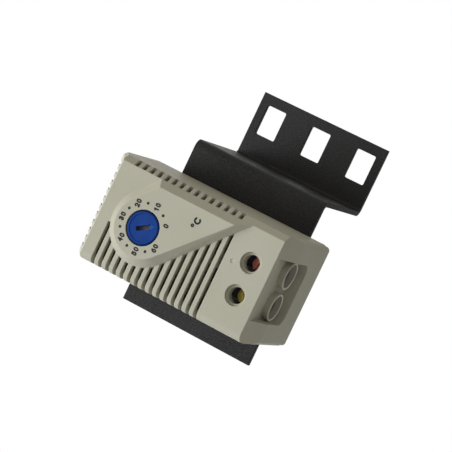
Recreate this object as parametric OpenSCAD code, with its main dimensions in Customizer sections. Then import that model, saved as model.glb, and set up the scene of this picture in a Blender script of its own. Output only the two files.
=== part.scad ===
// Enclosure thermostat with a set-point dial, clipped on a one-unit rack bracket.
// Origin at the middle rack slot, on the flange's back face: +X towards the flange's
// free edge, -Y out of the front, +Z up along the panel.

/* [Rack bracket] */
// Height of the bracket, one panel unit
unit_h = 43.65; // [43:0.05:46]
// Thickness of the bent sheet
sheet = 1.5; // [1.2:0.1:1.8]
// Width of the plate that carries the thermostat
plate_w = 51.9; // [48:0.1:60]
// Width of the flange that bolts to the rack
flange_w = 20.3; // [18:0.1:26]
// Step from the flange's front to the plate's front
step_d = 33.8; // [25:0.1:45]
// Inside radius of both bends
bend_r = 1; // [0.5:0.1:1.4]

/* [Rack slots] */
// Number of rack slots
slot_count = 3; // [1:1:3]
// Distance between slot centres
slot_pitch = 15.875; // [14:0.125:17]
// Width of a slot across the flange
slot_w = 9.5; // [7:0.1:10.5]
// Height of a slot along the flange
slot_h = 6.7; // [5:0.1:7.5]
// Corner radius of a slot
slot_r = 0.5; // [0.3:0.1:1.5]
// Distance from a slot's centre to the flange's free edge
slot_edge = 8; // [7:0.1:10]

/* [Rail strip] */
// Height of the strip that the clips grip
rail_h = 35; // [33:0.5:36]
// Width of the windows above and below the strip
window_w = 20; // [18:0.5:26]
// Height of those windows
window_h = 2.5; // [2.4:0.1:2.8]

/* [Case] */
// Length of the case
case_l = 59.6; // [58.6:0.5:66]
// Width of the case
case_w = 31.8; // [31.4:0.2:36]
// Distance from the plate to the ribbed front face
case_h = 34.3; // [33.5:0.1:38]
// Wall of the cover
wall = 1.6; // [1.3:0.1:1.8]
// Thickness of the rear base
base_t = 2.4; // [2.2:0.1:2.8]
// Radius of the cover's upright edges
case_r = 1.8; // [1.6:0.1:3]
// Height of the case's middle above the bracket's middle
case_rise = 0.77; // [0:0.01:1.2]
// Distance from the plate's bend to the middle of the case
case_inset = 26.8; // [22:0.1:30]

/* [Vents] */
// Number of slots along the case
vent_count = 15; // [5:1:15]
// Distance from the dial end to the first slot
vent_first = 9.4; // [8.8:0.1:12]
// Distance from the last slot to the terminal end
vent_last = 16.3; // [15.8:0.1:20]
// Width of a slot
vent_w = 1.15; // [0.9:0.05:1.3]
// Number of notches across the dial end
notch_count = 11; // [3:1:11]
// Distance between the notches
notch_pitch = 2.45; // [2.2:0.05:2.5]

/* [Dial] */
// Diameter of the dial
dial_d = 9.4; // [9:0.1:9.8]
// Gap between the dial and its well
dial_gap = 0.35; // [0.2:0.05:0.45]
// Distance from the dial's axis to the dial end
dial_end = 19.9; // [19.8:0.1:21]
// Height of the raised field round the dial
pad_h = 2.4; // [1.8:0.1:2.6]
// Radius of the raised field's round end, at its top
pad_r = 8.6; // [8.4:0.1:9.4]
// Diameter of the spindle in its bearing
spindle_d = 5; // [4.6:0.1:5.4]
// Travel of the nut in one turn of the dial
dial_lead = 0.8; // [0.5:0.1:1]

/* [Terminals] */
// Distance between the two terminals
term_pitch = 9.6; // [9.4:0.1:10]
// Distance from the screws' axis to the terminal end
term_end = 8.1; // [8:0.1:8.6]
// Height of the wires' axis above the plate
wire_z = 17; // [16.8:0.1:17.4]
// Diameter of the wire passage
wire_d = 5; // [4.6:0.1:5]
// Diameter of the terminal screws' thread
screw_d = 3; // [2.8:0.1:3.2]
// Diameter of the terminal screws' head
screw_head_d = 4.2; // [4:0.1:4.4]
// Diameter of the holes over the screws
access_d = 4.7; // [4.6:0.1:5]
// Thickness of the terminal strips
strip_t = 1; // [0.8:0.1:1]

/* [Hidden] */
$fn = 64;
over = 0.5;
skin = 0.01;
ease = 0.1;
run_gap = 0.05;
rest_gap = 0.3;

web_x = slot_edge - flange_w;
plate_x = web_x - plate_w;
plate_y = -step_d - sheet;
bend_out = bend_r + sheet;
window_r = 0.4;

half_l = case_l / 2;
half_w = case_w / 2;
rail_y = -case_rise;
edge_y = rail_h / 2;
base_r = 1.2;

// Step of the base inside the cover's long sides
base_in = 0.4;

// Side, dial-end and terminal-end slopes of the cover
side_lean = 0.1;
bevel_w = 1.7;
bevel_h = 2;
round_run = 2.2;
round_h = 2.9;
round_steps = 5;
corner_r = 0.3;
crest_run = 5.2;
crest_h = 10.3;
crest_cut = 1.1;
slant_run = 1.9;
slant_h = 12.3;
front_x = half_w - side_lean - bevel_w;

// Rim of the base inside the cover, with its snaps
rim_t = 1.2;
rim_h = 3.2;
snap_d = 0.4;
snap_h = 0.8;
snap_w = 6;
snap_lift = 1.4;
snap_z = base_t + snap_lift;
rim_w = case_w - 2 * (side_lean + wall + ease);
rim_l = case_l - 2 * (wall + ease);

// Raised field round the dial
dial_y = half_l - dial_end;
pad_z = case_h + pad_h;
pad_slope = 2.2;
pad_side = 2;
pad_corner_y = 0.5;
pad_corner_run = 1.4;
pad_tip = 16;
pad_tip_run = 4.1;
pad_x = front_x - pad_side;
pad_tip_y = pad_tip - half_l;
pad_fn = 64;

// Slots and notches of the cover
vent_pitch = (case_l - vent_first - vent_last) / (vent_count - 1);
vent_reach = 2.9;
vent_drop = 8.3;
vent_drop_right = 2.6;
vent_sink = 10;
vent_wall = 1;
vent_slope = 1.06;
vent_skin = 1.5;
pad_cover = 1.2;
notch_w = 1.2;
notch_edge = 3.4;
notch_drop = 14;

// Dial, its well and its bearing
well_deep = 3;
well_z = pad_z - well_deep;
dial_proud = 0.05;
dial_lift = 0.2;
dial_bevel = 0.3;
dial_rim = 0.75;
dial_dish = 0.15;
dial_rest = 150;
drive_l = 4;
drive_w = 1.2;
drive_deep = 1.5;
mark_w = 1.8;
mark_l = 1.5;
mark_deep = 0.3;
boss_wall = 4;
boss_h = 3.2;
boss_z = well_z - boss_h;
hub_deep = 0.9;

// Spindle and the clip in its groove
clip_t = 0.8;
clip_rim = 0.9;
clip_d = spindle_d + 2 * clip_rim;
groove_deep = 0.6;
groove_d = spindle_d - 2 * groove_deep;
groove_h = clip_t + 2 * ease;
collar_h = 1.3;
clip_mouth = groove_d - 2 * rest_gap;
thread_step = 0.5;
thread_d = spindle_d - 2 * thread_step;

// Lever and its pivot
lever_z = 16.2;
lever_t = 1.2;
lever_arm = 14.6;
lever_over = 2.9;
lever_tail = 1.7;
lever_front = dial_y - lever_over;
pivot_y = dial_y + lever_arm;
pivot_drop = 1.1;
pivot_z = lever_z - pivot_drop;
lever_back = pivot_y + lever_tail;
lever_ear_t = 1;
pin_d = 2;
pin_over = 0.4;
lever_ear_rim = 0.8;
lever_ear_w = pin_d + 2 * lever_ear_rim;

// Setting nut and its guides in the cover
nut_rim = 1.5;
nut_w = thread_d + 2 * nut_rim;
nut_h = 4;
nut_floor = 1.2;
nut_nose_d = 1.4;
nut_nose_h = 0.72;
nut_gap = 0.08;
nut_z = lever_z + lever_t + nut_gap + nut_nose_h;
guide_t = 1.2;
guide_over = 0.4;
guide_l = nut_w + guide_over;
guide_lift = 1;
thread_gap = 1.2;
thread_z = nut_z + nut_floor + thread_gap;

// Bimetal strip and its rivets
bimetal_w = 5;
bimetal_t = 0.6;
bimetal_z = lever_z - bimetal_t;
bimetal_inset = 2.1;
bimetal_back = pivot_y - bimetal_inset;
joint_d = 1.2;
joint_head_d = 2.1;
joint_head_h = 0.6;
joint_x = 1.25;
joint_inset = 4.5;
joint_y = pivot_y - joint_inset;
joint_gap = 0.12;

// Spring under the lever, beside the strip
spring_d = 2.6;
spring_wire = 0.35;
spring_turns = 7;
spring_side = 0.15;
spring_x = bimetal_w / 2 + spring_side + spring_d / 2;
spring_y = dial_y + ease;
spring_z = 6;
spring_rim = 0.4;
spring_pip_d = spring_d - 2 * spring_wire - rest_gap;
spring_pip_h = 1.5;
lever_w = 2 * (spring_x + spring_d / 2 + spring_side);

// Bearings of the lever's pin
bearing_side = 0.6;
bearing_x = lever_w / 2 + bearing_side;
bearing_t = 1.4;
bearing_rim = 1.2;
bearing_w = pin_d + 2 * bearing_rim;
bearing_roof = 1;

// Terminal strips, and the wire's room below them
strip_z = wire_z + wire_d / 2 + ease;
wire_room = wire_d + 2 * ease;
tongue_side = 0.4;
tongue_w = wire_room - 2 * tongue_side;
tongue_end = 2;
term_y = term_end - half_l;
term_x = term_pitch / 2;

// Clamp cages round the strips
cage_wall = 1;
cage_w = wire_room + 2 * cage_wall;
cage_rim = 0.7;
cage_l = screw_d + 2 * cage_rim;
cage_floor = 1.3;
cage_top = 1.5;
cage_room = wire_room + strip_t + 2 * rest_gap;
cage_z = strip_z - wire_room - cage_floor;
cage_lift = 2.05;

// Terminal screws and the guides over them
head_h = 1.5;
head_gap = 0.55;
head_z = cage_z + cage_floor + cage_room + cage_top + cage_lift + head_gap;
driver_w = 0.7;
driver_deep = 0.8;
screw_lift = 0.05;
sink_rim = 0.65;
sink_d = access_d + 2 * sink_rim;
sink_deep = 1;
chimney_wall = 0.9;
chimney_deep = 3.6;
chimney_z = case_h - chimney_deep;
eject_d = 1.2;
eject_deep = 0.15;
eject_x = 3.1;
eject_y = 4.9;

// Recess in the terminal end, with its wire funnels
tube_wall = 1.6;
tube_d = wire_d + 2 * tube_wall;
tube_rim = 0.45;
tube_out = 2;
funnel_l = 1.4;
pocket_w = term_pitch + tube_d + 2 * rest_gap;
pocket_below = 6.3;
pocket_z = wire_z - pocket_below;
pocket_r = 3;
pocket_deep = 3.8;
pocket_lean = 2.3;
pocket_above = 4;
pocket_lean_z = wire_z + pocket_above;
pocket_y = pocket_deep - half_l;

// Posts of the base under the strips
post_gap = 0.8;
post_l = 2.4;
post_y = term_y + cage_l / 2 + post_gap;
post_w = 2 * (term_x + cage_w / 2 + ease + cage_wall);
divider_w = term_pitch - cage_w - 2 * ease;
divider_rise = 1.4;
divider_z = strip_z + strip_t + divider_rise;

// Contacts
contact_run = 10.3;
contact_y = post_y + post_l + contact_run;
button_d = 3;
button_h = 0.9;
shank_d = 1.6;
peen_d = 2.2;
peen_h = 0.4;
plate_z = bimetal_z - 2 * button_h - rest_gap - strip_t;
plate_rim = 0.7;
plate_l = button_d + 2 * plate_rim;
plate_reach = button_d / 2 + plate_rim;
arm_w = tongue_w - rest_gap;
stake_y = (post_y + post_l + contact_y - plate_l / 2) / 2;
stake_d = 1.4;
stake_h = 0.8;

// Magnet, and the iron plate under the strip's tip
magnet_w = 4.4;
magnet_l = 3.8;
magnet_h = 3;
magnet_gap = 0.5;
magnet_sink = 0.6;
magnet_wall = 0.6;
armature_l = 3.6;
armature_w = 4;
armature_t = 0.8;
armature_y = contact_y - plate_l / 2 - 2 * ease - magnet_wall - magnet_l / 2;
magnet_z = bimetal_z - armature_t - magnet_gap - magnet_h;
tip_over = 0.5;
bimetal_tip = armature_y - armature_l / 2 - tip_over;

// Strip to the pivot
feed_w = 3;
feed_side = 0.6;
feed_x = bearing_x + bearing_t + feed_side + feed_w / 2;
feed_end = 2;
feed_post_w = 2;
feed_post_l = 4;
feed_post_run = 6;
feed_post_in = 8.5;
feed_near_y = contact_y + feed_post_run;
feed_far_y = pivot_y - feed_post_in;
ear_t = 1;
ear_rim = 1;
ear_w = pin_d + 2 * ear_rim;
ear_under = 0.5;
ear_drop = pin_d / 2 + ear_under;

// Rail hooks and latch
hook_side = 2;
hook_w = window_w - 2 * hook_side;
hook_t = 1;
hook_lip = 2;
hook_deep = 1.5;
grip_y = edge_y + ease - rail_y;
latch_w = 9.7;
latch_z = 0.15;
latch_t = 1.6;
latch_wing = 1;
latch_wing_t = 0.75;
latch_tail = 3.9;
latch_in = 2.13;
latch_back = grip_y - latch_tail;
latch_front = half_l - latch_in;
latch_neck_w = 8;
latch_travel = 1.3;
latch_pull_l = 4;
latch_pull_w = 1.2;
latch_pull_inset = 1.1;
latch_pull_y = latch_front - latch_pull_inset;

// Spring of the latch, in its bay
return_d = 2.4;
return_wire = 0.3;
return_turns = 4;
return_z = 1.6;
bay_w = 4;
bay_rim = 2.5;
bay_l = 4.6;
bay_front = latch_front - bay_rim;
bay_back = bay_front - bay_l;
bay_h = return_z + return_d / 2 + 2 * rest_gap;
peg_t = 1.1;
peg_w = return_d;
channel_wall = 1.6;
channel_roof = 1;
channel_h = bay_h + channel_roof;
coil_steps = 12;
coil_sides = 6;

// Places its children on the plate, with the case's front towards -Y
module seated() {
    translate([web_x - case_inset, plate_y, case_rise])
        rotate([90, 0, 0])
            children();
}

// Rod along z between two heights
module rod(d, z0, z1) {
    translate([0, 0, z0])
        cylinder(d = d, h = z1 - z0);
}

// Rod along x between two places
module cross_rod(d, x0, x1) {
    translate([x0, 0, 0])
        rotate([0, 90, 0])
            cylinder(d = d, h = x1 - x0);
}

// Rod along y between two places
module long_rod(d, y0, y1) {
    translate([0, y1, 0])
        rotate([90, 0, 0])
            cylinder(d = d, h = y1 - y0);
}

// Block given by its limits along x, y and z
module block(x, y, z) {
    translate([x[0], y[0], z[0]])
        cube([x[1] - x[0], y[1] - y[0], z[1] - z[0]]);
}

// Block centred on x = 0
module mid_block(w, y, z) {
    block([-w / 2, w / 2], y, z);
}

// Rectangle with round corners, centred
module round_rect(w, h, r) {
    square([w - 2 * r, h], center = true);
    square([w, h - 2 * r], center = true);
    for (sx = [-1, 1], sy = [-1, 1])
        translate([sx * (w / 2 - r), sy * (h / 2 - r)])
            circle(r);
}

// Corner of a square at the origin, less the quarter disc inside it
module corner_web(r) {
    difference() {
        translate([-over, -over])
            square(r + over);
        translate([r, r])
            circle(r);
    }
}

// Coil along z from 0 to h, as one tube
module coil(d, wire, turns, h) {
    path_r = (d - wire) / 2;
    rings = turns * coil_steps;
    points = [for (i = [0:rings], k = [0:coil_sides - 1])
        let (a = 360 * i / coil_steps, b = 360 * k / coil_sides, r = path_r + wire / 2 * cos(b))
        [r * cos(a), r * sin(a), wire / 2 + (h - wire) * i / rings + wire / 2 * sin(b)]];
    sides = [for (i = [0:rings - 1], k = [0:coil_sides - 1], half = [0, 1])
        let (a = i * coil_sides, b = a + coil_sides, n = (k + 1) % coil_sides)
        half == 0 ? [a + k, b + n, a + n] : [a + k, b + k, b + n]];
    last = rings * coil_sides;
    caps = [for (k = [1:coil_sides - 2], end = [0, 1])
        end == 0 ? [0, k, k + 1] : [last, last + k + 1, last + k]];
    polyhedron(points, concat(sides, caps));
}

// Section of the bracket: flange, web and plate with two bends
module bracket_section() {
    difference() {
        union() {
            translate([web_x - sheet, -sheet])
                square([flange_w + sheet, sheet]);
            translate([web_x - sheet, plate_y])
                square([sheet, step_d + sheet]);
            translate([plate_x, plate_y])
                square([plate_w, sheet]);
            translate([web_x, -sheet])
                mirror([0, 1])
                    corner_web(bend_r);
            translate([web_x - sheet, plate_y + sheet])
                mirror([1, 0])
                    corner_web(bend_r);
        }
        translate([web_x - sheet, 0])
            mirror([0, 1])
                corner_web(bend_out);
        translate([web_x, plate_y])
            mirror([1, 0])
                corner_web(bend_out);
    }
}

module rack_bracket() {
    color([0.13, 0.13, 0.135])
        difference() {
            translate([0, 0, -unit_h / 2])
                linear_extrude(unit_h)
                    bracket_section();
            for (i = [0:slot_count - 1])
                translate([0, over, (i - (slot_count - 1) / 2) * slot_pitch])
                    rotate([90, 0, 0])
                        linear_extrude(sheet + 2 * over)
                            round_rect(slot_w, slot_h, slot_r);
            seated()
                for (side = [-1, 1])
                    translate([0, rail_y + side * (edge_y + window_h / 2), -sheet - over])
                        linear_extrude(sheet + 2 * over)
                            round_rect(window_w, window_h, window_r);
        }
}

// Channel for the latch in the back of the base, with a bay for its spring
module latch_channel() {
    reach = [-latch_front - latch_travel - ease, -latch_back + ease];
    mid_block(latch_w + 2 * ease, reach, [-over, latch_z + latch_t - latch_wing_t]);
    mid_block(latch_w + 2 * (latch_wing + ease), reach,
        [latch_z + latch_t - latch_wing_t - ease, latch_z + latch_t + ease]);
    difference() {
        mid_block(bay_w, [-bay_front, -bay_back], [-over, bay_h]);
        mid_block(peg_w, [-bay_front + ease, -bay_front + ease + peg_t], [latch_z, bay_h + over]);
    }
}

// Hook of the base over the strip's upper edge
module rail_hook() {
    near = rail_y + edge_y + ease;
    mid_block(hook_w, [near, near + hook_t], [-sheet - ease - hook_deep, skin]);
    mid_block(hook_w, [near + hook_t - hook_lip, near + hook_t],
        [-sheet - ease - hook_deep, -sheet - ease]);
}

// Posts and walls of the base that carry the terminals
module terminal_posts() {
    front_y = term_y - cage_l / 2 - ease;
    back_y = term_y + cage_l / 2 + ease;
    mid_block(post_w, [front_y, post_y], [0, cage_z - rest_gap]);
    mid_block(divider_w, [front_y, post_y], [0, divider_z]);
    mid_block(post_w, [back_y + ease, post_y + post_l], [0, strip_z]);
    mid_block(divider_w, [post_y, post_y + post_l], [0, divider_z]);
    for (side = [-1, 1])
        translate([side * (post_w - cage_wall) / 2, 0, 0])
            mid_block(cage_wall, [front_y, back_y], [0, strip_z]);
}

// Posts of the base under the contact, the magnet, the spring and the feed strip
module mechanism_posts() {
    block([-term_x - tongue_w / 2, plate_reach + ease],
        [contact_y - plate_l / 2, contact_y + plate_l / 2], [0, plate_z]);
    translate([-term_x, stake_y, 0]) {
        rod(tongue_w, 0, plate_z);
        rod(stake_d, 0, plate_z + strip_t + stake_h);
    }
    translate([0, armature_y, 0])
        mid_block(magnet_w + 2 * magnet_wall, [-magnet_l / 2 - magnet_wall, magnet_l / 2 + magnet_wall],
            [0, magnet_z + magnet_sink]);
    translate([spring_x, spring_y, 0]) {
        rod(spring_d + 2 * spring_rim, 0, spring_z);
        rod(spring_pip_d, 0, spring_z + spring_pip_h);
    }
    for (y = [feed_near_y, feed_far_y])
        translate([feed_x, y, 0])
            mid_block(feed_post_w, [-feed_post_l / 2, feed_post_l / 2], [0, strip_z]);
    for (side = [-1, 1])
        translate([side * (bearing_x + bearing_t / 2), pivot_y, 0])
            mid_block(bearing_t, [-bearing_w / 2, bearing_w / 2], [0, pivot_z + pin_d / 2 + bearing_roof]);
}

module rear_base() {
    color([0.8, 0.79, 0.73])
        seated()
            difference() {
                union() {
                    linear_extrude(base_t)
                        round_rect(case_w - 2 * base_in, case_l, base_r);
                    difference() {
                        linear_extrude(base_t + rim_h)
                            round_rect(rim_w, rim_l, base_r);
                        translate([0, 0, base_t])
                            linear_extrude(rim_h + over)
                                round_rect(rim_w - 2 * rim_t, rim_l - 2 * rim_t, base_r);
                    }
                    for (side = [-1, 1], y = [-half_l / 2, half_l / 2])
                        translate([side * (half_w - side_lean - wall + snap_d - ease - rim_t), y, 0])
                            mid_block(2 * rim_t, [-snap_w / 2 + ease, snap_w / 2 - ease],
                                [snap_z, snap_z + snap_h]);
                    mid_block(latch_w + 2 * (latch_wing + channel_wall),
                        [rim_t - rim_l / 2, channel_wall - latch_back], [0, channel_h]);
                    terminal_posts();
                    mechanism_posts();
                    rail_hook();
                }
                latch_channel();
                translate([0, armature_y, 0])
                    mid_block(magnet_w, [-magnet_l / 2, magnet_l / 2],
                        [magnet_z, magnet_z + magnet_h]);
                translate([0, pivot_y, pivot_z])
                    cross_rod(pin_d, -half_w, half_w);
            }
}

// Outline of the case's sloped dial end at one height, with its corners cut
module crest_outline(w, y) {
    polygon([[-w - over, -half_l - over], [w + over, -half_l - over], [w + over, y - crest_cut - over],
        [w - crest_cut, y], [crest_cut - w, y], [-w - over, y - crest_cut - over]]);
}

// Slope of the dial end, from below the case to its front
module crest_form(w, l, z0, top) {
    foot_z = z0 - over;
    hull() {
        translate([0, 0, foot_z - skin])
            linear_extrude(skin)
                crest_outline(w, l + crest_run * (top - crest_h - foot_z) / crest_h);
        translate([0, 0, top - skin])
            linear_extrude(skin)
                crest_outline(w, l - crest_run);
    }
}

// The case's solid form, drawn in by an inset on every side
module case_form(inset, z0) {
    top = case_h - inset;
    w = half_w - inset;
    l = half_l - inset;
    side = w - side_lean;
    round_z = top - round_h;
    intersection() {
        translate([0, 0, z0])
            linear_extrude(top - z0)
                round_rect(2 * w, 2 * l, max(case_r - inset, corner_r));
        translate([-half_w - over, 0, 0])
            rotate([90, 0, 90])
                linear_extrude(case_w + 2 * over)
                    polygon([[-l, z0 - over], [l + over, z0 - over], [l + over, top],
                        [slant_run - l, top], [-l, top - slant_h]]);
        crest_form(w, l, z0, top);
        translate([0, half_l + over, 0])
            rotate([90, 0, 0])
                linear_extrude(case_l + 2 * over)
                    polygon(concat([[-w, 0], [w, 0], [side, top - bevel_h], [side - bevel_w, top]],
                        [for (i = [round_steps:-1:0]) let (a = 90 * i / round_steps)
                            [round_run * (1 - cos(a)) - side, round_z + round_h * sin(a)]]));
    }
}

// Raised field round the dial, drawn to a point towards the terminals
module pad() {
    corner_y = dial_y + pad_corner_y;
    foot_corner_y = corner_y + pad_corner_run;
    foot_tip_y = pad_tip_y - pad_tip_run;
    hull() {
        translate([0, dial_y, case_h])
            cylinder(r1 = pad_r + pad_slope, r2 = pad_r, h = pad_h, $fn = pad_fn);
        translate([0, 0, pad_z - skin])
            linear_extrude(skin)
                polygon([[0, dial_y], [pad_x, corner_y], [pad_x, pad_tip_y]]);
        translate([0, 0, case_h])
            linear_extrude(skin)
                polygon([[0, dial_y], [front_x, foot_corner_y], [front_x, foot_tip_y]]);
    }
    hull() {
        translate([0, dial_y, case_h - wall])
            cylinder(r = pad_r + pad_slope, h = wall + skin, $fn = pad_fn);
        translate([0, 0, case_h - wall])
            linear_extrude(wall + skin)
                polygon([[0, dial_y], [front_x, foot_corner_y], [front_x, foot_tip_y]]);
    }
}

// Slots across the front and down both sides, and notches across the dial end
module vents() {
    foot_tip_y = pad_tip_y - pad_tip_run;
    for (i = [0:vent_count - 1]) {
        y = half_l - vent_first - i * vent_pitch;
        foot_x = front_x - (y - foot_tip_y) * vent_slope;
        span = [y - vent_w / 2, y + vent_w / 2];
        block([-half_w - over, max(foot_x + pad_cover, -vent_reach)], span,
            [case_h - vent_drop, case_h + over]);
        block([front_x, half_w + over], span, [case_h - vent_drop_right, case_h + over]);
        block([front_x - wall, half_w - vent_wall], span, [case_h - vent_sink, case_h - vent_skin]);
    }
    for (i = [0:notch_count - 1]) {
        x = (i - (notch_count - 1) / 2) * notch_pitch;
        block([x - notch_w / 2, x + notch_w / 2], [half_l - notch_edge, half_l + over],
            [case_h - notch_drop, case_h + over]);
    }
}

// Recess in the terminal end, with a floor and a leaning back wall
module pocket(grow) {
    w = pocket_w + 2 * grow;
    floor_z = pocket_z - grow;
    back = pocket_y + grow;
    intersection() {
        translate([0, back, floor_z + case_h / 2])
            rotate([90, 0, 0])
                linear_extrude(pocket_deep + grow + over)
                    round_rect(w, case_h, pocket_r + grow);
        translate([-w / 2 - over, 0, 0])
            rotate([90, 0, 90])
                linear_extrude(w + 2 * over)
                    polygon([[-half_l - over, 0], [back, 0], [back, pocket_lean_z],
                        [back - pocket_lean, case_h], [back - pocket_lean, case_h + over],
                        [-half_l - over, case_h + over]]);
    }
}

module at_terminals() {
    for (side = [-1, 1])
        translate([side * term_x, 0, 0])
            children();
}

module funnel_bodies(y1) {
    at_terminals()
        translate([0, 0, wire_z])
            long_rod(tube_d, pocket_y - tube_out, y1);
}

// Screw chimneys, dial boss and nut guides inside the cover
module cover_guides() {
    at_terminals()
        translate([0, term_y, 0])
            rod(access_d + 2 * chimney_wall, chimney_z, case_h - over);
    translate([0, dial_y, 0]) {
        rod(spindle_d + 2 * boss_wall, boss_z, case_h - over);
        for (side = [-1, 1])
            translate([side * (nut_w + guide_t + 2 * ease) / 2, 0, 0])
                mid_block(guide_t, [-guide_l / 2, guide_l / 2], [nut_z + guide_lift, case_h - over]);
    }
}

// Wire funnels, screw holes, dial well and bearing
module cover_bores() {
    at_terminals() {
        translate([0, 0, wire_z]) {
            long_rod(wire_d, pocket_y - tube_out, pocket_y + wall + over);
            translate([0, pocket_y - tube_out + funnel_l, 0])
                rotate([90, 0, 0])
                    cylinder(d1 = wire_d, d2 = tube_d - 2 * tube_rim, h = funnel_l);
        }
        translate([0, term_y, 0]) {
            rod(access_d, chimney_z - over, case_h + over);
            rod(sink_d, case_h - sink_deep, case_h + over);
        }
    }
    translate([0, dial_y, 0]) {
        rod(dial_d + 2 * dial_gap, well_z, pad_z + over);
        rod(spindle_d + 2 * run_gap, boss_z - over, pad_z);
    }
    translate([eject_x, term_y + eject_y, 0])
        rod(eject_d, case_h - eject_deep, case_h + over);
}

module front_cover() {
    color([0.74, 0.73, 0.66])
        seated()
            difference() {
                union() {
                    difference() {
                        case_form(0, base_t);
                        case_form(wall, base_t - over);
                        vents();
                    }
                    intersection() {
                        case_form(ease, base_t + rim_h);
                        union() {
                            pocket(wall);
                            cover_guides();
                        }
                    }
                    pad();
                }
                difference() {
                    pocket(0);
                    funnel_bodies(pocket_y);
                }
                cover_bores();
                for (side = [-1, 1], y = [-half_l / 2, half_l / 2])
                    translate([side * (half_w - wall + snap_d - rim_t), y, 0])
                        mid_block(2 * rim_t, [-snap_w / 2, snap_w / 2],
                            [snap_z - ease, snap_z + snap_h + ease]);
            }
}

module rail_latch() {
    near = rail_y - edge_y - ease;
    color([0.16, 0.16, 0.17])
        seated()
            difference() {
                union() {
                    mid_block(latch_w, [-latch_front, -latch_back], [latch_z, latch_z + latch_t]);
                    mid_block(latch_w + 2 * latch_wing, [-latch_front, -latch_back],
                        [latch_z + latch_t - latch_wing_t, latch_z + latch_t]);
                    mid_block(latch_neck_w, [near - hook_t, near],
                        [-sheet - ease - hook_deep, latch_z + skin]);
                    mid_block(latch_neck_w, [near - hook_t, near - hook_t + hook_lip],
                        [-sheet - ease - hook_deep, -sheet - ease]);
                }
                mid_block(bay_w, [-bay_front, -bay_back], [-over, latch_z + latch_t + over]);
                translate([0, -latch_pull_y, 0])
                    mid_block(latch_pull_l, [-latch_pull_w / 2, latch_pull_w / 2],
                        [-over, latch_z + latch_t + over]);
            }
}

module latch_spring() {
    foot = -bay_front + ease + peg_t;
    color([0.7, 0.7, 0.72])
        seated()
            translate([0, -bay_back - run_gap, return_z])
                rotate([90, 0, 0])
                    coil(return_d, return_wire, return_turns, -bay_back - foot - 2 * run_gap);
}

module setting_dial() {
    h = dial_proud + well_deep - dial_lift;
    face = h - dial_dish;
    color([0.06, 0.2, 0.48])
        seated()
            translate([0, dial_y, well_z + dial_lift])
                difference() {
                    union() {
                        rod(dial_d, 0, h - dial_bevel);
                        translate([0, 0, h - dial_bevel])
                            cylinder(d1 = dial_d, d2 = dial_d - 2 * dial_bevel, h = dial_bevel);
                    }
                    rod(spindle_d, -over, hub_deep);
                    rod(dial_d - 2 * dial_rim, face, h + over);
                    rotate([0, 0, -dial_rest]) {
                        mid_block(drive_w, [-drive_l / 2, drive_l / 2], [face - drive_deep, h]);
                        translate([0, drive_l / 2, face - mark_deep])
                            linear_extrude(mark_deep + over)
                                polygon([[-mark_w / 2, 0], [mark_w / 2, 0], [0, mark_l]]);
                    }
                }
}

module dial_spindle() {
    groove_z = boss_z - groove_h + run_gap;
    color([0.78, 0.62, 0.3])
        seated()
            translate([0, dial_y, 0]) {
                rod(thread_d, thread_z, groove_z);
                rod(spindle_d, groove_z - collar_h, groove_z);
                rod(groove_d, groove_z - run_gap, boss_z + run_gap);
                rod(spindle_d, boss_z + run_gap, well_z + dial_lift + hub_deep);
            }
}

module spindle_clip() {
    low = boss_z - ease - clip_t;
    color([0.7, 0.7, 0.72])
        seated()
            translate([0, dial_y, 0])
                difference() {
                    rod(clip_d, low, low + clip_t);
                    rod(groove_d, low - over, low + clip_t + over);
                    mid_block(clip_mouth, [0, clip_d], [low - over, low + clip_t + over]);
                }
}

module setting_nut() {
    color([0.86, 0.85, 0.8])
        seated()
            translate([0, dial_y, 0])
                difference() {
                    union() {
                        mid_block(nut_w, [-nut_w / 2, nut_w / 2], [nut_z, nut_z + nut_h]);
                        rod(nut_nose_d, nut_z - nut_nose_h, nut_z + skin);
                    }
                    rod(thread_d + 2 * run_gap, nut_z + nut_floor, nut_z + nut_h + over);
                }
}

module setting_lever() {
    color([0.72, 0.72, 0.74])
        seated()
            difference() {
                union() {
                    mid_block(lever_w, [lever_front, lever_back], [lever_z, lever_z + lever_t]);
                    for (side = [-1, 1])
                        translate([side * (lever_w - lever_ear_t) / 2, pivot_y, 0])
                            mid_block(lever_ear_t, [-lever_ear_w / 2, lever_ear_w / 2],
                                [pivot_z - ear_drop, lever_z + skin]);
                }
                translate([0, pivot_y, pivot_z])
                    cross_rod(pin_d + 2 * run_gap, -lever_w, lever_w);
                for (side = [-1, 1])
                    translate([side * joint_x, joint_y, 0])
                        rod(joint_d, lever_z - over, lever_z + lever_t + over);
            }
}

module lever_pin() {
    color([0.75, 0.75, 0.77])
        seated()
            translate([0, pivot_y, pivot_z])
                cross_rod(pin_d, -bearing_x - bearing_t - pin_over,
                    feed_x - feed_w / 2 + ear_t + pin_over);
}

module lever_spring() {
    color([0.7, 0.7, 0.72])
        seated()
            translate([spring_x, spring_y, spring_z])
                coil(spring_d, spring_wire, spring_turns, lever_z - spring_z - run_gap);
}

module bimetal_strip() {
    color([0.66, 0.6, 0.5])
        seated()
            difference() {
                mid_block(bimetal_w, [bimetal_tip, bimetal_back], [bimetal_z, bimetal_z + bimetal_t]);
                for (side = [-1, 1])
                    translate([side * joint_x, joint_y, 0])
                        rod(joint_d + 2 * ease, bimetal_z - over, bimetal_z + bimetal_t + over);
                translate([0, contact_y, 0])
                    rod(shank_d, bimetal_z - over, bimetal_z + bimetal_t + over);
            }
}

// Rivet through the lever and the strip, set with a little play under the strip
module joint_rivet(side) {
    foot = bimetal_z - joint_gap;
    translate([side * joint_x, joint_y, 0]) {
        rod(joint_head_d, foot - joint_head_h, foot);
        rod(joint_d, foot - skin, lever_z + lever_t + skin);
        rod(joint_head_d, lever_z + lever_t, lever_z + lever_t + joint_head_h);
    }
}

module left_rivet() {
    color([0.78, 0.64, 0.32])
        seated()
            joint_rivet(-1);
}

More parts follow.
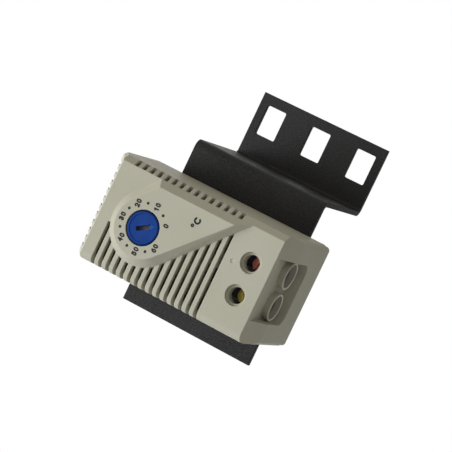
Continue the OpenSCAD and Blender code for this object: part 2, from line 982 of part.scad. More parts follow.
module right_rivet() {
    color([0.78, 0.64, 0.32])
        seated()
            joint_rivet(1);
}

module moving_contact() {
    color([0.85, 0.85, 0.86])
        seated()
            translate([0, contact_y, 0]) {
                rod(button_d, bimetal_z - button_h, bimetal_z);
                rod(shank_d, bimetal_z - skin, bimetal_z + bimetal_t + skin);
                rod(peen_d, bimetal_z + bimetal_t, bimetal_z + bimetal_t + peen_h);
            }
}

module armature() {
    color([0.5, 0.5, 0.52])
        seated()
            translate([0, armature_y, 0])
                mid_block(armature_w, [-armature_l / 2, armature_l / 2],
                    [bimetal_z - armature_t, bimetal_z]);
}

module fixed_contact() {
    color([0.85, 0.85, 0.86])
        seated()
            translate([0, contact_y, 0]) {
                rod(shank_d, plate_z, plate_z + strip_t + skin);
                rod(button_d, plate_z + strip_t, plate_z + strip_t + button_h);
            }
}

// Tongue of a strip inside its clamp cage, and on to the post
module tongue(side) {
    translate([side * term_x, 0, 0])
        mid_block(tongue_w, [term_y - tongue_end, post_y + post_l], [strip_z, strip_z + strip_t]);
}

module contact_strip() {
    fold_y = post_y + post_l;
    low = [plate_z, plate_z + strip_t];
    color([0.8, 0.66, 0.36])
        seated()
            difference() {
                union() {
                    tongue(-1);
                    translate([-term_x, 0, 0])
                        mid_block(tongue_w, [fold_y, fold_y + strip_t],
                            [plate_z, strip_z + strip_t]);
                    block([-term_x - tongue_w / 2, -term_x - tongue_w / 2 + arm_w],
                        [fold_y, contact_y + plate_l / 2], low);
                    block([-term_x - tongue_w / 2, plate_reach],
                        [contact_y - plate_l / 2, contact_y + plate_l / 2], low);
                }
                translate([0, contact_y, 0])
                    rod(shank_d, plate_z - over, plate_z + strip_t + over);
                translate([-term_x, stake_y, 0])
                    rod(stake_d + 2 * run_gap, plate_z - over, plate_z + strip_t + over);
            }
}

module lever_strip() {
    level = [strip_z, strip_z + strip_t];
    outer_x = feed_x + feed_w / 2;
    inner_x = feed_x - feed_w / 2;
    color([0.8, 0.66, 0.36])
        seated()
            difference() {
                union() {
                    tongue(1);
                    block([term_x - tongue_w / 2, outer_x], [post_y, post_y + post_l], level);
                    block([inner_x, outer_x], [post_y, pivot_y + feed_end], level);
                    translate([inner_x + ear_t / 2, pivot_y, 0])
                        mid_block(ear_t, [-ear_w / 2, ear_w / 2],
                            [pivot_z - ear_drop, strip_z + skin]);
                }
                translate([0, pivot_y, pivot_z])
                    cross_rod(pin_d, inner_x - over, inner_x + ear_t + over);
            }
}

module snap_magnet() {
    color([0.3, 0.3, 0.31])
        seated()
            translate([0, armature_y, 0])
                mid_block(magnet_w, [-magnet_l / 2, magnet_l / 2], [magnet_z, magnet_z + magnet_h]);
}

// Cage that lifts the wire against the strip as its screw is turned
module clamp_cage(side) {
    roof = cage_z + cage_floor + cage_room;
    translate([side * term_x, term_y, 0])
        difference() {
            mid_block(cage_w, [-cage_l / 2, cage_l / 2], [cage_z, roof + cage_top]);
            mid_block(cage_w - 2 * cage_wall, [-cage_l / 2 - over, cage_l / 2 + over],
                [cage_z + cage_floor, roof]);
            rod(screw_d + 2 * run_gap, roof - over, roof + cage_top + over);
        }
}

module left_clamp() {
    color([0.78, 0.78, 0.8])
        seated()
            clamp_cage(-1);
}

module right_clamp() {
    color([0.78, 0.78, 0.8])
        seated()
            clamp_cage(1);
}

// Slotted screw that stands on the strip
module clamp_screw(side) {
    translate([side * term_x, term_y, 0])
        difference() {
            union() {
                rod(screw_d, strip_z + strip_t + screw_lift, head_z + skin);
                rod(screw_head_d, head_z, head_z + head_h);
            }
            rotate([0, 0, side * dial_rest / 2])
                mid_block(driver_w, [-screw_head_d, screw_head_d],
                    [head_z + head_h - driver_deep, head_z + head_h + over]);
        }
}

module left_screw() {
    color([0.8, 0.68, 0.3])
        seated()
            clamp_screw(-1);
}

module right_screw() {
    color([0.8, 0.5, 0.4])
        seated()
            clamp_screw(1);
}

rack_bracket();
rear_base();
front_cover();
rail_latch();
latch_spring();
setting_dial();
dial_spindle();
spindle_clip();
setting_nut();
setting_lever();
lever_pin();
lever_spring();
bimetal_strip();
left_rivet();
right_rivet();
moving_contact();
armature();
fixed_contact();
contact_strip();
lever_strip();
snap_magnet();
left_clamp();
right_clamp();
left_screw();
right_screw();
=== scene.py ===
"""Looks of the clip-on enclosure thermostat on its rack bracket (Blender 4.5)."""
import math
from itertools import product

import bpy
import numpy as np
from mathutils import Matrix, Vector


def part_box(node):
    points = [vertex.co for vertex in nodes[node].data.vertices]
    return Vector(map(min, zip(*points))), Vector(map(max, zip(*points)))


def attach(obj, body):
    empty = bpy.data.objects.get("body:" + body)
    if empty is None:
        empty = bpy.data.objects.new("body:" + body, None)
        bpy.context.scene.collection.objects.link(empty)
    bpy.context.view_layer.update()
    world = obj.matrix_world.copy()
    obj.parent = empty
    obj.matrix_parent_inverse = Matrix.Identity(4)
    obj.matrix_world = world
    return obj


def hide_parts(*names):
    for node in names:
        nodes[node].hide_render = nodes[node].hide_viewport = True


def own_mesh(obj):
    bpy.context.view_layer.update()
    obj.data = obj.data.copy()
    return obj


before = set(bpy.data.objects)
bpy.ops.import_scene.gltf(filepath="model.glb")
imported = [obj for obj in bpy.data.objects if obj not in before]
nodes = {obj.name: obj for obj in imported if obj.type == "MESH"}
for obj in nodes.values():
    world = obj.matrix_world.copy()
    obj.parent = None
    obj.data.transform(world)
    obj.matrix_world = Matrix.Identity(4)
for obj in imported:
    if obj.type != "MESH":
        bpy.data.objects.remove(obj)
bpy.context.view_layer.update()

# Lengths are in millimetres unless a comment says otherwise, and MM turns them into the scene's metres.
MM = 0.001


def lowest(node):
    """Lowest corner of a solid at rest."""
    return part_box(node)[0] / MM


def middle(node):
    """Middle of a solid's box at rest."""
    low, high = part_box(node)
    return (low + high) / 2 / MM


# The case's own coordinates: x right, y towards the dial end, z out of its front.
# Their origin is the middle of the case, on the plate's front.
CASE_X = middle("rear_base").x
CASE_Y = lowest("rack_bracket").y
CASE_Z = middle("rear_base").z


def at(x, y, z):
    """Place in the scene of a point given in the case's own coordinates."""
    return Vector((CASE_X + x, CASE_Y - z, CASE_Z + y)) * MM


def new_object(name, data):
    """New object in the scene."""
    piece = bpy.data.objects.new(name, data)
    bpy.context.collection.objects.link(piece)
    return piece


# Materials

def srgb(r, g, b):
    """Linear colour of a display colour given from 0 to 255."""
    def linear(channel):
        share = channel / 255
        return share / 12.92 if share <= 0.04045 else ((share + 0.055) / 1.055) ** 2.4
    return (linear(r), linear(g), linear(b), 1)


class Tree:
    """Short way to write a node tree."""

    def __init__(self, tree):
        self.tree = tree

    def add(self, kind, **settings):
        """New node with its settings."""
        node = self.tree.nodes.new(kind)
        for key, value in settings.items():
            setattr(node, key, value)
        return node

    def feed(self, socket, value):
        """Give a socket another node's output, or a fixed value."""
        if isinstance(value, bpy.types.NodeSocket):
            self.tree.links.new(value, socket)
        else:
            socket.default_value = value

    def calc(self, operation, *values):
        """Result of a sum with plain numbers."""
        node = self.add("ShaderNodeMath", operation=operation)
        for socket, value in zip(node.inputs, values):
            self.feed(socket, value)
        return node.outputs["Value"]

    def vector_calc(self, operation, a, b):
        """Result of a sum with two vectors."""
        node = self.add("ShaderNodeVectorMath", operation=operation)
        self.feed(node.inputs[0], a)
        self.feed(node.inputs[1], b)
        return node.outputs["Vector" if operation == "MULTIPLY" else "Value"]

    def split(self, vector):
        """The three parts of a vector, under their names X, Y and Z."""
        node = self.add("ShaderNodeSeparateXYZ")
        self.feed(node.inputs["Vector"], vector)
        return node.outputs

    def span(self, value, low, high, from_low=0.0, from_high=1.0):
        """Value carried over from one range to another, and held at its ends."""
        node = self.add("ShaderNodeMapRange")
        self.feed(node.inputs["Value"], value)
        self.feed(node.inputs["From Min"], from_low)
        self.feed(node.inputs["From Max"], from_high)
        self.feed(node.inputs["To Min"], low)
        self.feed(node.inputs["To Max"], high)
        return node.outputs["Result"]

    def rise(self, length, start, end):
        """From nought to one between two lengths."""
        return self.span(length, 0, 1, start * MM, end * MM)

    def fall(self, length, start, end):
        """From one to nought between two lengths."""
        return self.span(length, 1, 0, start * MM, end * MM)

    def mix(self, factor, a, b):
        """One colour into another."""
        node = self.add("ShaderNodeMix", data_type="RGBA")
        self.feed(node.inputs[0], factor)
        self.feed(node.inputs[6], a)
        self.feed(node.inputs[7], b)
        return node.outputs[2]


class Surface(Tree):
    """A material's node tree round its shader, in the piece's own coordinates."""

    def __init__(self, name):
        self.material = bpy.data.materials.new(name)
        self.material.use_nodes = True
        super().__init__(self.material.node_tree)
        self.shader = self.tree.nodes["Principled BSDF"]
        self.coords = self.add("ShaderNodeTexCoord").outputs["Object"]

    def noise(self, scale, detail=2, rough=0.5, stretch=None):
        """Noise with features of about 1/scale metres."""
        source = self.coords
        if stretch:
            mapping = self.add("ShaderNodeMapping")
            self.feed(mapping.inputs["Vector"], source)
            self.feed(mapping.inputs["Scale"], stretch)
            source = mapping.outputs["Vector"]
        node = self.add("ShaderNodeTexNoise")
        self.feed(node.inputs["Vector"], source)
        self.feed(node.inputs["Scale"], scale)
        self.feed(node.inputs["Detail"], detail)
        self.feed(node.inputs["Roughness"], rough)
        return node.outputs["Fac"]

    def ramp(self, value, low, low_colour, high, high_colour):
        """Colours between two stops."""
        node = self.add("ShaderNodeValToRGB")
        stops = ((low, low_colour), (high, high_colour))
        for element, (place, colour) in zip(node.color_ramp.elements, stops):
            element.position = place
            element.color = colour
        self.feed(node.inputs["Fac"], value)
        return node.outputs["Color"]

    def bump(self, height, strength, depth, radius):
        """Normals of an uneven skin, on edges that are rounded by a radius."""
        node = self.add("ShaderNodeBump")
        self.feed(node.inputs["Height"], height)
        self.feed(node.inputs["Strength"], strength)
        self.feed(node.inputs["Distance"], depth * MM)
        self.feed(node.inputs["Normal"], self.rounded(radius))
        return node.outputs["Normal"]

    def rounded(self, radius):
        """Normals that run softly over sharp edges."""
        node = self.add("ShaderNodeBevel", samples=6)
        self.feed(node.inputs["Radius"], radius * MM)
        return node.outputs["Normal"]

    def edges(self, radius):
        """One along sharp edges within a radius, and nought on the flats."""
        flat = self.add("ShaderNodeNewGeometry").outputs["Normal"]
        alike = self.vector_calc("DOT_PRODUCT", self.rounded(radius), flat)
        return self.span(alike, 1, 0, from_low=0.8, from_high=0.99)

    def uneven(self, pattern, low, high):
        """Value that follows a noise between two ends, which it mostly reaches."""
        return self.span(pattern, low, high, from_low=0.3, from_high=0.7)

    def done(self, **values):
        """The material, with its shader's sockets set."""
        for key, value in values.items():
            self.feed(self.shader.inputs[key.replace("_", " ")], value)
        return self.material


# The two wire funnels, in the case's coordinates, with painted shade inside them and a painted highlight on
# their rims
FUNNEL_X = CASE_X - middle("left_screw").x
FUNNEL_Z = 17
FUNNEL_END = -28
# Colour of the painted shade inside the funnels, and of the painted highlight on their rims
FUNNEL_PAINTED_SHADE = srgb(132, 130, 116)
RIM_PAINTED_HIGHLIGHT = srgb(208, 207, 193)

# Where the painted shade and the painted highlight start and stop: radii round a funnel's axis, and lengths
# into it from its end
HOLLOW_R = (3.5, 3.66)
RIM_R = (4.1, 4.2)
PAINTED_SHADE_START = (-0.1, 0.2)
PAINTED_SHADE_STOP = (6, 8)
RIM_SLACK = 0.25


def funnel_ends(surface, tone):
    """Painted shade inside the two wire funnels, and a painted highlight on the flat ring of their rims."""
    across = surface.vector_calc("MULTIPLY", surface.coords, (1, 1, 0))
    to_axes = []
    for x in (-FUNNEL_X, FUNNEL_X):
        axis = at(x, FUNNEL_END, FUNNEL_Z)
        to_axes.append(surface.vector_calc("DISTANCE", across, (axis.x, axis.y, 0)))
    radius = surface.calc("MINIMUM", *to_axes)
    end = at(0, FUNNEL_END, FUNNEL_Z).z
    inward = surface.calc("SUBTRACT", surface.split(surface.coords)["Z"], end)
    deep = surface.calc("MULTIPLY", surface.rise(inward, *PAINTED_SHADE_START), surface.fall(inward, *PAINTED_SHADE_STOP))
    # Painted shade deep inside each funnel, and a painted highlight on the ring at its end.
    painted_shade_mask = surface.calc("MULTIPLY", surface.fall(radius, *HOLLOW_R), deep)
    wall = surface.calc("MULTIPLY", surface.rise(radius, *HOLLOW_R), surface.fall(radius, *RIM_R))
    rim = surface.calc("MULTIPLY", wall, surface.calc("COMPARE", inward, 0, RIM_SLACK * MM))
    return surface.mix(rim, surface.mix(painted_shade_mask, tone, FUNNEL_PAINTED_SHADE), RIM_PAINTED_HIGHLIGHT)


def moulded(name, colour, worn, rough=0.48, specular=0.4, edge_wear_and_highlight=None):
    """Fine-grained moulded plastic; given an edge tone, its sharp edges turn paler, partly as wear and
    partly as a painted highlight, and its wire funnels get painted shade inside and a painted highlight on
    their rims.
    """
    surface = Surface(name)
    cloud = surface.noise(scale=45, detail=3)
    blotch = surface.noise(scale=160, detail=4, rough=0.6)
    grain = surface.noise(scale=9000)
    handled = surface.span(blotch, 0, 0.25, from_low=0.4, from_high=0.8)
    tone = surface.mix(handled, surface.ramp(cloud, 0.3, colour, 0.75, worn), worn)
    if edge_wear_and_highlight:
        # Sharp edges made paler, partly as wear and partly as a painted highlight; then the funnels' painted
        # shade and painted rim highlight.
        tone = funnel_ends(surface, surface.mix(surface.edges(radius=0.25), tone, edge_wear_and_highlight))
    return surface.done(Base_Color=tone, Specular_IOR_Level=specular,
                        Roughness=surface.uneven(blotch, rough - 0.05, rough + 0.08),
                        Normal=surface.bump(grain, 0.6, depth=0.008, radius=0.3))


# The dial, in the case's coordinates, its pointer mark, and the painted shade in its driver slot
DIAL_DISH = 0.15
DIAL_Y = middle("setting_dial").z - CASE_Z
DIAL_FACE = CASE_Y - lowest("setting_dial").y - DIAL_DISH
MARK_DEEP = 0.3
MARK_SLACK = 0.02
SLOT_SHADE_DEEP = 0.55
SLOT_SHADE_R = (2.4, 2.45)


def dial_plastic(name, colour, worn, painted_slot_shade, mark):
    """Blue moulded plastic, with painted shade in the driver slot and a paler floor in the pointer mark."""
    surface = Surface(name)
    blotch = surface.noise(scale=260, detail=4, rough=0.6)
    grain = surface.noise(scale=9000)
    face = at(0, DIAL_Y, DIAL_FACE)
    across = surface.vector_calc("MULTIPLY", surface.coords, (1, 0, 1))
    radius = surface.vector_calc("DISTANCE", across, (face.x, 0, face.z))
    # Millimetres below the face, from nought to one
    below = surface.span(surface.split(surface.coords)["Y"], 0, 1, face.y, face.y + MM)
    # Painted shade on the driver slot's floor and lower walls, deeper than the pointer mark.
    slot = surface.calc("MULTIPLY", surface.span(below, 0, 1, MARK_DEEP, SLOT_SHADE_DEEP),
                        surface.fall(radius, *SLOT_SHADE_R))
    tone = surface.ramp(blotch, 0.35, colour, 0.75, worn)
    tone = surface.mix(surface.calc("COMPARE", below, MARK_DEEP, MARK_SLACK), tone, mark)
    return surface.done(Base_Color=surface.mix(slot, tone, painted_slot_shade), Specular_IOR_Level=0.12,
                        Roughness=surface.uneven(blotch, 0.34, 0.46),
                        Normal=surface.bump(grain, 0.5, depth=0.005, radius=0.12))


def powder_coat(name, colour, lift):
    """Black powder coat with its fine pebbled skin."""
    surface = Surface(name)
    pebble = surface.noise(scale=2600, detail=3, rough=0.55)
    swell = surface.noise(scale=700)
    cloud = surface.noise(scale=60, detail=3)
    faded = surface.span(cloud, 0, 0.35, from_low=0.35, from_high=0.75)
    tone = surface.mix(faded, surface.ramp(pebble, 0.35, colour, 0.72, lift), lift)
    return surface.done(Base_Color=tone, Specular_IOR_Level=0.12,
                        Roughness=surface.uneven(pebble, 0.42, 0.6),
                        Normal=surface.bump(surface.calc("ADD", pebble, swell), 0.55, depth=0.09,
                                            radius=0.3))


def metal(name, colour, dull, rough=0.3, stretch=(1, 1, 1)):
    """Bare or plated metal with drawn or turned marks along one direction."""
    surface = Surface(name)
    marks = surface.noise(scale=3000, detail=3, rough=0.6, stretch=stretch)
    cloud = surface.noise(scale=220, detail=3)
    dulled = surface.span(cloud, 0, 0.6, from_low=0.35, from_high=0.75)
    return surface.done(Base_Color=surface.mix(dulled, colour, dull), Metallic=1.0,
                        Roughness=surface.uneven(marks, rough - 0.08, rough + 0.12),
                        Normal=surface.bump(marks, 0.5, depth=0.01, radius=0.1))


def print_ink(name, colour, lift):
    """Screen print: dense black with a slightly uneven tone."""
    surface = Surface(name)
    cloud = surface.noise(scale=1500, detail=3)
    grain = surface.noise(scale=2500)
    return surface.done(Base_Color=surface.ramp(cloud, 0.35, colour, 0.8, lift),
                        Specular_IOR_Level=0.3, Roughness=surface.span(grain, 0.45, 0.7))


# The paler edge tone of case and base is partly wear and partly painted highlight.
CASE = moulded("case_plastic", srgb(172, 170, 151), srgb(179, 177, 159), specular=0.12,
               edge_wear_and_highlight=srgb(200, 198, 180))
BASE = moulded("base_plastic", srgb(172, 171, 152), srgb(179, 178, 160), specular=0.12,
               edge_wear_and_highlight=srgb(200, 199, 181))
# The dial's dark slot tone is painted shade in its driver slot.
BLUE = dial_plastic("dial_plastic", srgb(2, 50, 120), srgb(8, 58, 136), painted_slot_shade=srgb(92, 86, 88),
                    mark=srgb(26, 80, 156))
DARK = moulded("latch_plastic", srgb(48, 48, 50), srgb(56, 56, 58), rough=0.5)
NUT = moulded("nut_plastic", srgb(214, 212, 204), srgb(222, 220, 212), rough=0.42)
BLACK = powder_coat("black_powder_coat", srgb(26, 26, 25), srgb(56, 56, 55))
STEEL = metal("plated_steel", srgb(190, 190, 194), srgb(165, 165, 170))
WIRE = metal("spring_wire", srgb(175, 175, 180), srgb(150, 150, 154), rough=0.25)
# The contact strips' brass is painted a dark bluish grey, as painted shade for the deep screw holes round
# them.
BRASS_PAINTED_SHADE = metal("sheet_brass_painted_shade", srgb(62, 60, 66), srgb(44, 44, 54), rough=0.4, stretch=(1, 1, 8))
BLUED = metal("blued_clamp_steel", srgb(44, 50, 74), srgb(30, 34, 54), rough=0.38)
TURNED = metal("turned_brass", srgb(206, 172, 92), srgb(184, 148, 76), rough=0.28, stretch=(1, 12, 1))
STRIP = metal("bimetal", srgb(168, 156, 136), srgb(150, 140, 122), rough=0.35, stretch=(6, 1, 1))
SILVER = metal("contact_silver", srgb(222, 222, 224), srgb(200, 200, 204), rough=0.2)
IRON = metal("armature_iron", srgb(120, 120, 124), srgb(98, 98, 102), rough=0.4)
MAGNET = metal("magnet", srgb(92, 92, 95), srgb(72, 72, 75), rough=0.5)
YELLOW = metal("yellow_screw", srgb(236, 216, 110), srgb(220, 196, 94), rough=0.42)
RED = metal("red_screw", srgb(246, 158, 140), srgb(230, 134, 118), rough=0.42)
INK = print_ink("black_ink", srgb(8, 8, 10), srgb(22, 22, 24))

FINISH = {
    "rack_bracket": BLACK, "rear_base": BASE, "front_cover": CASE, "rail_latch": DARK,
    "latch_spring": WIRE, "setting_dial": BLUE, "dial_spindle": TURNED, "spindle_clip": WIRE,
    "setting_nut": NUT, "setting_lever": STEEL, "lever_pin": STEEL, "lever_spring": WIRE,
    "bimetal_strip": STRIP, "left_rivet": TURNED, "right_rivet": TURNED,
    "moving_contact": SILVER, "armature": IRON, "fixed_contact": SILVER,
    "contact_strip": BRASS_PAINTED_SHADE, "lever_strip": BRASS_PAINTED_SHADE, "snap_magnet": MAGNET,
    "left_clamp": BLUED, "right_clamp": BLUED, "left_screw": YELLOW, "right_screw": RED,
}
for name, material in FINISH.items():
    piece = nodes[name]
    piece.data.materials.clear()
    piece.data.materials.append(material)


# The latch's spring, which gets shorter as the latch goes down, drawn again as a copy with a mesh of its own
# on the housing, while the imported spring is hidden

coil = new_object("latch_coil", nodes["latch_spring"].data.copy())
coil.matrix_world = nodes["latch_spring"].matrix_world.copy()
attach(coil, "housing")
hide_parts("latch_spring")
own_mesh(coil)


# Printed scale

# Middle of the scale and place of the unit, in the case's coordinates
PAD_TOP = CASE_Y - lowest("front_cover").y
PRINT_H = 0.03
SCALE_X = 0.16
SCALE_Y = 9.96
NUMBER_R = 6.85
NUMBER_H = 1.62
DOT_RING_R = 6.72
DOT_R = 0.42
DOT_SIDES = 24
UNIT_X = 8.61
UNIT_Y = -3.69
UNIT_H = 2.1

# What the scale shows, the turn for each degree that it shows, and the turn of the whole print
SCALE_TOP = 60
SCALE_STEP = 10
SCALE_TURN = 5
PRINT_TURN = 1.8

# Sizes of the signs, and of the grid that draws them, as shares of their height
DIGIT_W_SHARE = 0.68
DIGIT_GAP_SHARE = 0.1
STROKE_SHARE = 0.265
DEGREE_STROKE_SHARE = 0.19
DEGREE_R_SHARE = 0.15
RASTER_SHARE = 0.025
TINY = 1e-9


def bow(cx, cy, rx, ry, start, end, count=28):
    """Points of an elliptical arc, angles in degrees from the right, anticlockwise."""
    turns = [math.radians(start + (end - start) * i / count) for i in range(count + 1)]
    return [(cx + rx * math.cos(turn), cy + ry * math.sin(turn)) for turn in turns]


# Middle lines of the strokes of each sign, for a height of one
LEFT = STROKE_SHARE / 2
RIGHT = DIGIT_W_SHARE - LEFT
LOW = STROKE_SHARE / 2
TOP = 1 - LOW
MID = DIGIT_W_SHARE / 2
HALF = (RIGHT - LEFT) / 2
STROKES = {
    "0": [bow(MID, TOP - 0.32, HALF, 0.32, 0, 180) + bow(MID, LOW + 0.32, HALF, 0.32, 180, 360)
          + [(RIGHT, TOP - 0.32)]],
    "1": [[(LEFT + 0.06, TOP - 0.2), (MID + 0.08, TOP - 0.02), (MID + 0.08, LOW)]],
    "2": [bow(MID, TOP - 0.25, HALF, 0.25, 172, -38) + [(LEFT + 0.02, LOW), (RIGHT, LOW)]],
    "3": [bow(MID - 0.02, TOP - 0.21, HALF - 0.02, 0.21, 165, -90),
          bow(MID - 0.02, LOW + 0.235, HALF, 0.235, 90, -165)],
    "4": [[(RIGHT - 0.1, LOW), (RIGHT - 0.1, TOP), (LEFT, LOW + 0.24), (RIGHT + 0.03, LOW + 0.24)]],
    "5": [[(RIGHT - 0.04, TOP), (LEFT + 0.06, TOP), (LEFT + 0.03, LOW + 0.42)]
          + bow(MID - 0.02, LOW + 0.27, HALF, 0.27, 130, -160)],
    "6": [bow(MID, LOW + 0.26, HALF, 0.26, 0, 360),
          bow(RIGHT - 0.02, LOW + 0.26, RIGHT - 0.02 - LEFT, TOP - LOW - 0.26, 180, 98)],
    "C": [bow(0.5, 0.5, 0.5 - LEFT, 0.5 - LEFT, 48, 312, 40)],
    "o": [bow(0.22, 0.22, DEGREE_R_SHARE, DEGREE_R_SHARE, 0, 360)],
}


def stroke_loops(paths, width):
    """Closed outlines of strokes of one width, with round ends, from the distance to them on a fine grid."""
    segments = np.array([(*p, *q) for path in paths for p, q in zip(path, path[1:])])
    low = segments.reshape(-1, 2).min(0) - width
    high = segments.reshape(-1, 2).max(0) + width
    xs = np.arange(low[0], high[0] + RASTER_SHARE, RASTER_SHARE)
    ys = np.arange(low[1], high[1] + RASTER_SHARE, RASTER_SHARE)
    gx, gy = np.meshgrid(xs, ys, indexing="ij")
    field = np.full(gx.shape, np.inf)
    for x0, y0, x1, y1 in segments:
        dx = x1 - x0
        dy = y1 - y0
        along = np.clip(((gx - x0) * dx + (gy - y0) * dy) / max(dx * dx + dy * dy, TINY), 0, 1)
        field = np.minimum(field, np.hypot(gx - x0 - along * dx, gy - y0 - along * dy))
    field -= width / 2
    field[field == 0] = TINY
    places = {}
    links = {}

    def crossing(i, j, across):
        """Key of the place where the outline crosses one edge of the grid."""
        here = field[i, j]
        there = field[i + across, j + 1 - across]
        step = here / (here - there) * RASTER_SHARE
        places[i, j, across] = (xs[i] + across * step, ys[j] + (1 - across) * step)
        return i, j, across

    for i, j in product(range(len(xs) - 1), range(len(ys) - 1)):
        inside = [field[i, j] < 0, field[i + 1, j] < 0, field[i + 1, j + 1] < 0, field[i, j + 1] < 0]
        edges = [(i, j, 1), (i + 1, j, 0), (i, j + 1, 1), (i, j, 0)]
        cut = [crossing(*edges[k]) for k in range(4) if inside[k] != inside[(k + 1) % 4]]
        if len(cut) == 4 and not inside[1]:
            cut = cut[1:] + cut[:1]
        for a, b in zip(cut[::2], cut[1::2]):
            links.setdefault(a, []).append(b)
            links.setdefault(b, []).append(a)
    loops = []
    while links:
        key = next(iter(links))
        loop = []
        while key in links:
            onward = links.pop(key)
            loop.append(places[key])
            key = next((k for k in onward if k in links), None)
        loops.append(loop)
    return loops


LOOPS = {sign: stroke_loops(paths, DEGREE_STROKE_SHARE if sign == "o" else STROKE_SHARE)
         for sign, paths in STROKES.items()}


def printed(name, signs, x, y, height):
    """Signs printed flat on the raised field, each with its own offset in shares of the height."""
    curve = bpy.data.curves.new(name, "CURVE")
    curve.dimensions = "2D"
    curve.fill_mode = "BOTH"
    curve.extrude = PRINT_H / 2 * MM
    for sign, dx, dy in signs:
        for loop in LOOPS[sign]:
            spline = curve.splines.new("POLY")
            spline.points.add(len(loop) - 1)
            for point, (px, py) in zip(spline.points, loop):
                point.co = ((px + dx) * height * MM, (py + dy) * height * MM, 0, 1)
            spline.use_cyclic_u = True
    curve.materials.append(INK)
    piece = new_object(name, curve)
    piece.matrix_world = (Matrix.Translation(at(x, y, PAD_TOP + PRINT_H / 2))
                          @ Matrix.Rotation(math.pi / 2, 4, "X"))
    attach(piece, "housing")


def number(text):
    """A number's signs, set side by side round its middle."""
    step = DIGIT_W_SHARE + DIGIT_GAP_SHARE
    start = (DIGIT_GAP_SHARE - len(text) * step) / 2
    return [(sign, start + i * step, -0.5) for i, sign in enumerate(text)]


def printed_dot(name, x, y):
    """A round printed dot on the raised field."""
    turns = [math.tau * i / DOT_SIDES for i in range(DOT_SIDES)]
    ring = [(x + DOT_R * math.cos(turn), y + DOT_R * math.sin(turn)) for turn in turns]
    points = [at(a, b, z) for z in (PAD_TOP, PAD_TOP + PRINT_H) for a, b in ring]
    low = list(range(DOT_SIDES))
    high = list(range(DOT_SIDES, 2 * DOT_SIDES))
    sides = [(low[i - 1], low[i], high[i], high[i - 1]) for i in range(DOT_SIDES)]
    mesh = bpy.data.meshes.new(name)
    mesh.from_pydata(points, [], sides + [high, low[::-1]])
    mesh.materials.append(INK)
    piece = new_object(name, mesh)
    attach(piece, "housing")


def on_scale(value, radius):
    """Place of a value on the scale, at a radius."""
    turn = math.radians((SCALE_TOP / 2 - value) * SCALE_TURN + PRINT_TURN)
    return SCALE_X + radius * math.sin(turn), SCALE_Y + radius * math.cos(turn)


for value in range(0, SCALE_TOP + 1, SCALE_STEP):
    printed(f"scale_{value}", number(str(value)), *on_scale(value, NUMBER_R), NUMBER_H)
for value in range(SCALE_STEP // 2, SCALE_TOP, SCALE_STEP):
    printed_dot(f"scale_dot_{value}", *on_scale(value, DOT_RING_R))
printed("unit_mark", [("C", -0.5, -0.5), ("o", -1.04, 0.15)], UNIT_X, UNIT_Y, UNIT_H)


# Camera, where the photo was taken from, with its turns in degrees

CAMERA_AT = Vector((13.28, -546.09, -183.03))
CAMERA_TURN = (128.4021, 56.8094, 38.5602)
camera = new_object("camera", bpy.data.cameras.new("camera"))
camera.location = CAMERA_AT * MM
camera.rotation_euler = [math.radians(turn) for turn in CAMERA_TURN]
camera.data.sensor_width = 36
camera.data.lens = 150.33
camera.data.clip_start = 10 * MM
camera.data.clip_end = 20000 * MM
bpy.context.scene.camera = camera


# Lamps

LAMP_TARGET = Vector((-30, -35, 0))
LAMP_AWAY = 900


def lamp(name, direction, size, strength, colour=(1, 1, 1)):
    """Soft square lamp that looks at the object from a direction."""
    light = bpy.data.lights.new(name, "AREA")
    light.shape = "SQUARE"
    light.size = size * MM
    light.energy = strength
    light.color = colour
    back = Vector(direction).normalized()
    piece = new_object(name, light)
    piece.location = (LAMP_TARGET + back * LAMP_AWAY) * MM
    piece.rotation_euler = back.to_track_quat("Z", "Y").to_euler()


lamp("key", direction=(-0.3, -0.6, 0.74), size=500, strength=7.4, colour=(0.98, 1.0, 1.06))
lamp("back_fill", direction=(-0.3, 1.0, 0.3), size=900, strength=1.5)


# World

# The room is lighter to the left and to the front of the case, and a little warmer to its right.
ROOM_LEVEL = 0.49
ROOM_SLOPE = (-0.12, -0.06, 0.0)
ROOM_COOL = (0.98, 1.0, 1.04, 1)
ROOM_WARM = (1.14, 1.0, 0.8, 1)


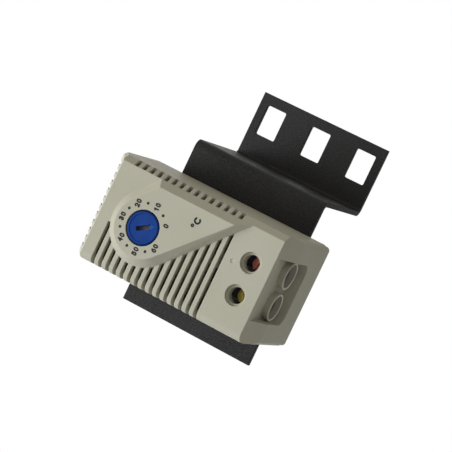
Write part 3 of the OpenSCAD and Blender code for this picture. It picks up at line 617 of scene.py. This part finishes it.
def studio():
    """World that lights the object softly, and is white where the camera or a mirrored ray meets it."""
    world = bpy.data.worlds.new("studio")
    bpy.context.scene.world = world
    world.use_nodes = True
    world.node_tree.nodes.clear()
    tree = Tree(world.node_tree)
    direction = tree.add("ShaderNodeTexCoord").outputs["Generated"]
    room = tree.add("ShaderNodeBackground")
    warmth = tree.span(tree.split(direction)["X"], 0, 1, from_low=-0.3, from_high=0.9)
    tree.feed(room.inputs["Color"], tree.mix(warmth, ROOM_COOL, ROOM_WARM))
    slope = tree.vector_calc("DOT_PRODUCT", direction, ROOM_SLOPE)
    tree.feed(room.inputs["Strength"], tree.calc("ADD", slope, ROOM_LEVEL))
    white = tree.add("ShaderNodeBackground")
    tree.feed(white.inputs["Color"], (1, 1, 1, 1))
    tree.feed(white.inputs["Strength"], 1)
    path = tree.add("ShaderNodeLightPath").outputs
    seen = tree.calc("MAXIMUM", path["Is Camera Ray"], path["Is Glossy Ray"])
    seen = tree.calc("MAXIMUM", seen, path["Is Transmission Ray"])
    mixed = tree.add("ShaderNodeMixShader")
    tree.feed(mixed.inputs["Fac"], seen)
    tree.feed(mixed.inputs[1], room.outputs[0])
    tree.feed(mixed.inputs[2], white.outputs[0])
    tree.feed(tree.add("ShaderNodeOutputWorld").inputs["Surface"], mixed.outputs[0])


studio()


# Floor

FLOOR_HALF = 4000
FLOOR_Z = -320
FLOOR_GLOW = 0.36


def pale_paper():
    """Plain paper that the camera sees paler than it lights the object, with the shadow still on it."""
    surface = Surface("pale_floor")
    seen = surface.add("ShaderNodeLightPath").outputs["Is Camera Ray"]
    grain = surface.noise(scale=3)
    tone = surface.mix(seen, surface.ramp(grain, 0.3, srgb(172, 172, 170), 0.8, srgb(178, 178, 176)),
                       surface.ramp(grain, 0.3, srgb(240, 240, 238), 0.8, srgb(246, 246, 244)))
    return surface.done(Base_Color=tone, Roughness=0.9, Specular_IOR_Level=0.1,
                        Emission_Color=(1, 1, 1, 1), Emission_Strength=surface.span(seen, 0, FLOOR_GLOW))


floor_mesh = bpy.data.meshes.new("floor")
floor_mesh.from_pydata([Vector((sx * FLOOR_HALF, sy * FLOOR_HALF, FLOOR_Z)) * MM
                        for sx, sy in ((-1, -1), (1, -1), (1, 1), (-1, 1))], [], [(0, 1, 2, 3)])
floor_mesh.materials.append(pale_paper())
floor = new_object("floor", floor_mesh)

bpy.context.scene.view_settings.view_transform = "Standard"
